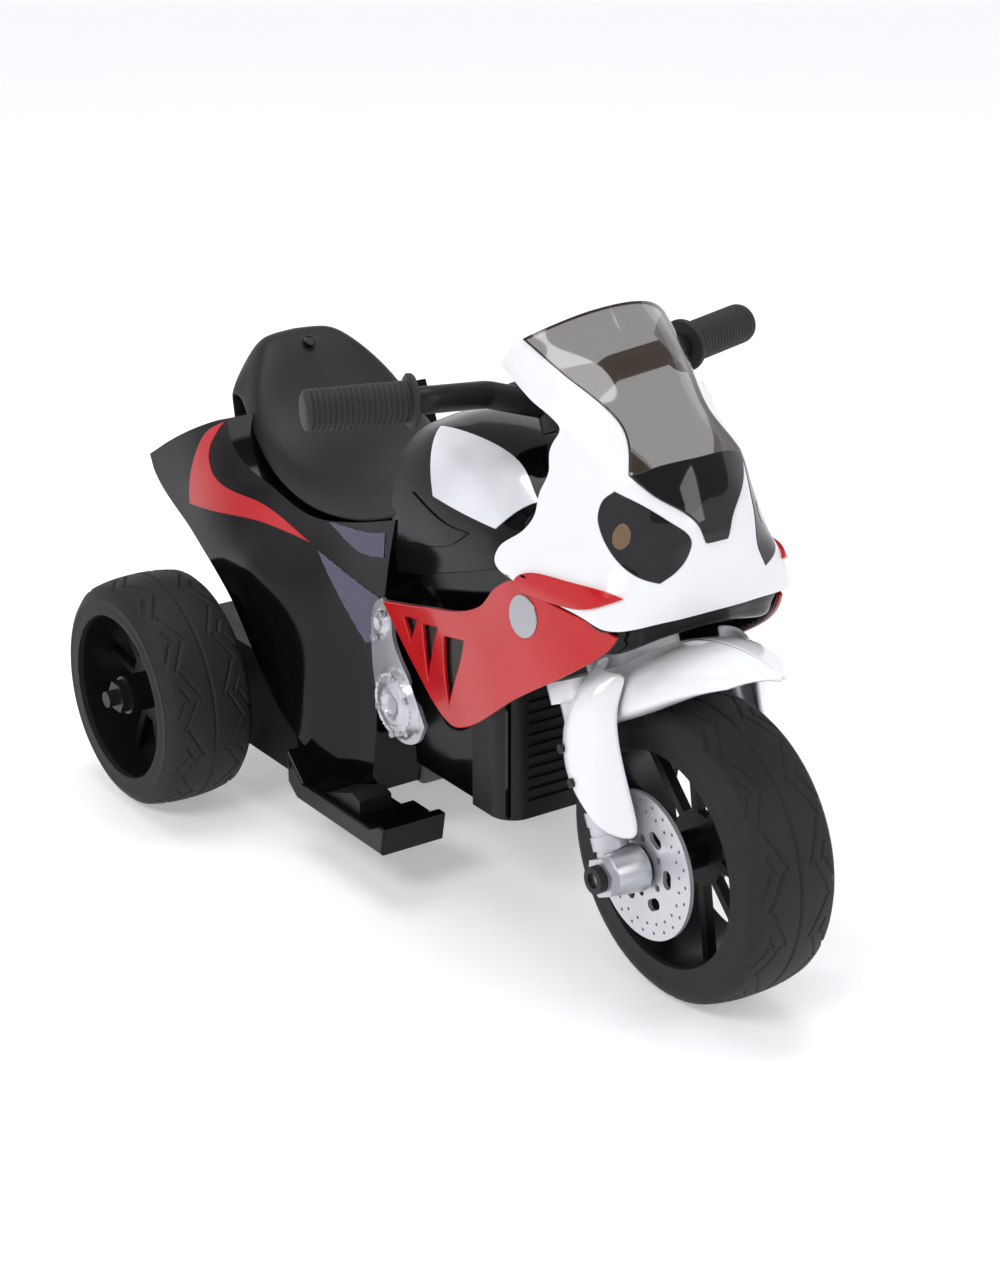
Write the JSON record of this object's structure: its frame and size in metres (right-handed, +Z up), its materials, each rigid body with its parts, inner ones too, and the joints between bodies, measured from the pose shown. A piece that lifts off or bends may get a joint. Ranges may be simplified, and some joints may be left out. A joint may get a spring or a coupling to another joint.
{
  "type": "ride-on motorcycle",
  "caption": "Toddler battery ride-on sport motorbike with a raked steered front wheel, geared rear wheels, fairing, seat, footrests, pedal and switches.",
  "frame": {"origin": "on the floor, under the middle of the bounding box", "axes": "+X forward to the front wheel, +Y to the rider's left, +Z up"},
  "size_m": [0.645, 0.378, 0.437],
  "materials": {
    "tyre": "matte moulded",
    "black_rim": "satin black",
    "silver_disc": "metallic silver paint",
    "steel": "plain",
    "silver_paint": "metallic silver paint",
    "black_cap": "black",
    "white_gloss": "gloss white",
    "black_matte": "moulded grain",
    "black_rubber": "soft grip",
    "button_red": "red",
    "button_grey": "grey",
    "nylon": "natural",
    "black_gloss": "gloss black",
    "red_gloss": "gloss red",
    "mesh_grey": "fine mesh",
    "seat_charcoal": "satin charcoal",
    "brass": "machined",
    "grey_plastic": "dark grey",
    "motor_steel": "zinc plated",
    "battery_grey": "moulded",
    "board_green": "solder resist",
    "silver_panel": "pale silver",
    "smoke_screen": "smoked",
    "lens_black": "gloss",
    "wire_red": "insulation"
  },
  "bodies": {
    "frame": {"axle_housing_lower": "black_matte", "axle_housing_upper": "black_matte", "battery": "battery_grey", "belly_shroud": "black_matte", "body_shell_left": "black_gloss", "body_shell_right": "black_gloss", "charge_socket": "black_matte", "chin_panel": "grey_plastic", "control_board": "board_green", "engine_covers": "silver_paint", "fairing": "white_gloss", "footrest_left": "black_gloss", "footrest_right": "black_gloss", "front_housing": "black_gloss", "gearbox_case": "grey_plastic", "headlight_lenses": "lens_black", "housing_screws": "steel", "mesh_inserts": "mesh_grey", "motor": "motor_steel", "rear_axle": "steel", "rear_axle_caps": "black_cap", "seat": "seat_charcoal", "side_panel_left": "red_gloss", "side_panel_right": "red_gloss", "speaker": "black_matte", "steering_column": "black_matte", "stem_bushes": "nylon", "switch_housings": "black_matte", "tail_accents": "red_gloss", "tank_cover": "black_gloss", "tank_panel": "silver_panel", "windscreen": "smoke_screen", "winglets": "red_gloss", "wiring_harness": "wire_red"},
    "steering": {"front_axle": "steel", "front_axle_nuts": "silver_paint", "front_axle_caps": "black_cap", "fork_legs": "silver_paint", "fork_covers": "white_gloss", "fork_bridge": "white_gloss", "steering_stem": "steel", "mudguard": "white_gloss", "handlebar": "black_matte", "grips": "black_rubber", "instrument_pod": "black_matte"},
    "front_wheel": {"front_tyre": "tyre", "front_rim": "black_rim", "brake_discs": "silver_disc"},
    "rear_wheel_right": {"rear_tyre_right": "tyre", "rear_rim_right": "black_rim"},
    "rear_wheel_left": {"rear_tyre_left": "tyre", "rear_rim_left": "black_rim", "drive_gear": "nylon"},
    "double_gear": {"double_gear": "nylon"},
    "motor_pinion": {"motor_pinion": "brass"},
    "accelerator_pedal": {"accelerator_pedal": "black_matte"},
    "horn_button": {"horn_button": "button_red"},
    "music_button": {"music_button": "button_grey"},
    "power_rocker": {"power_rocker": "button_red"},
    "direction_rocker": {"direction_rocker": "button_grey"}
  },
  "joints": [
    {"name": "steering", "type": "hinge", "parent": "frame", "child": "steering", "pos_m": [0.19, 0, 0.1], "axis": [-0.4226, 0, 0.9063], "range_deg": [-22, 22]},
    {"name": "front_wheel_spin", "type": "hinge", "parent": "steering", "child": "front_wheel", "pos_m": [0.2225, 0, 0.1], "axis": [0, 1, 0], "continuous": true},
    {"name": "rear_wheel_right_spin", "type": "hinge", "parent": "frame", "child": "rear_wheel_right", "pos_m": [-0.2375, 0, 0.085], "axis": [0, 1, 0], "continuous": true},
    {"name": "rear_wheel_left_spin", "type": "hinge", "parent": "frame", "child": "rear_wheel_left", "pos_m": [-0.2375, 0, 0.085], "axis": [0, 1, 0], "continuous": true},
    {"name": "double_gear_spin", "type": "hinge", "parent": "frame", "child": "double_gear", "pos_m": [-0.2075, 0, 0.085], "axis": [0, 1, 0], "continuous": true},
    {"name": "motor_pinion_spin", "type": "hinge", "parent": "frame", "child": "motor_pinion", "pos_m": [-0.1835, 0, 0.085], "axis": [0, 1, 0], "continuous": true},
    {"name": "pedal_press", "type": "hinge", "parent": "frame", "child": "accelerator_pedal", "pos_m": [-0.065, 0, 0.0495], "axis": [0, 1, 0], "range_deg": [0, 5], "stiffness_Nm_per_rad": 8, "springref_deg": -5.73},
    {"name": "horn_press", "type": "slide", "parent": "steering", "child": "horn_button", "axis": [-0.4226, 0, 0.9063], "range_m": [-0.0015, 0], "stiffness_N_per_m": 400, "springref_m": 0.002},
    {"name": "music_press", "type": "slide", "parent": "steering", "child": "music_button", "axis": [-0.4226, 0, 0.9063], "range_m": [-0.0015, 0], "stiffness_N_per_m": 400, "springref_m": 0.002},
    {"name": "power_rock", "type": "hinge", "parent": "frame", "child": "power_rocker", "pos_m": [-0.0115, 0.054, 0.237], "axis": [0, 0, 1], "range_deg": [-8, 8]},
    {"name": "direction_rock", "type": "hinge", "parent": "frame", "child": "direction_rocker", "pos_m": [0.0185, 0.054, 0.237], "axis": [0, 0, 1], "range_deg": [-8, 8]}
  ],
  "couplings": [
    {"joint": "double_gear_spin", "follows": "rear_wheel_left_spin", "ratio": -4},
    {"joint": "motor_pinion_spin", "follows": "rear_wheel_left_spin", "ratio": 12}
  ]
}
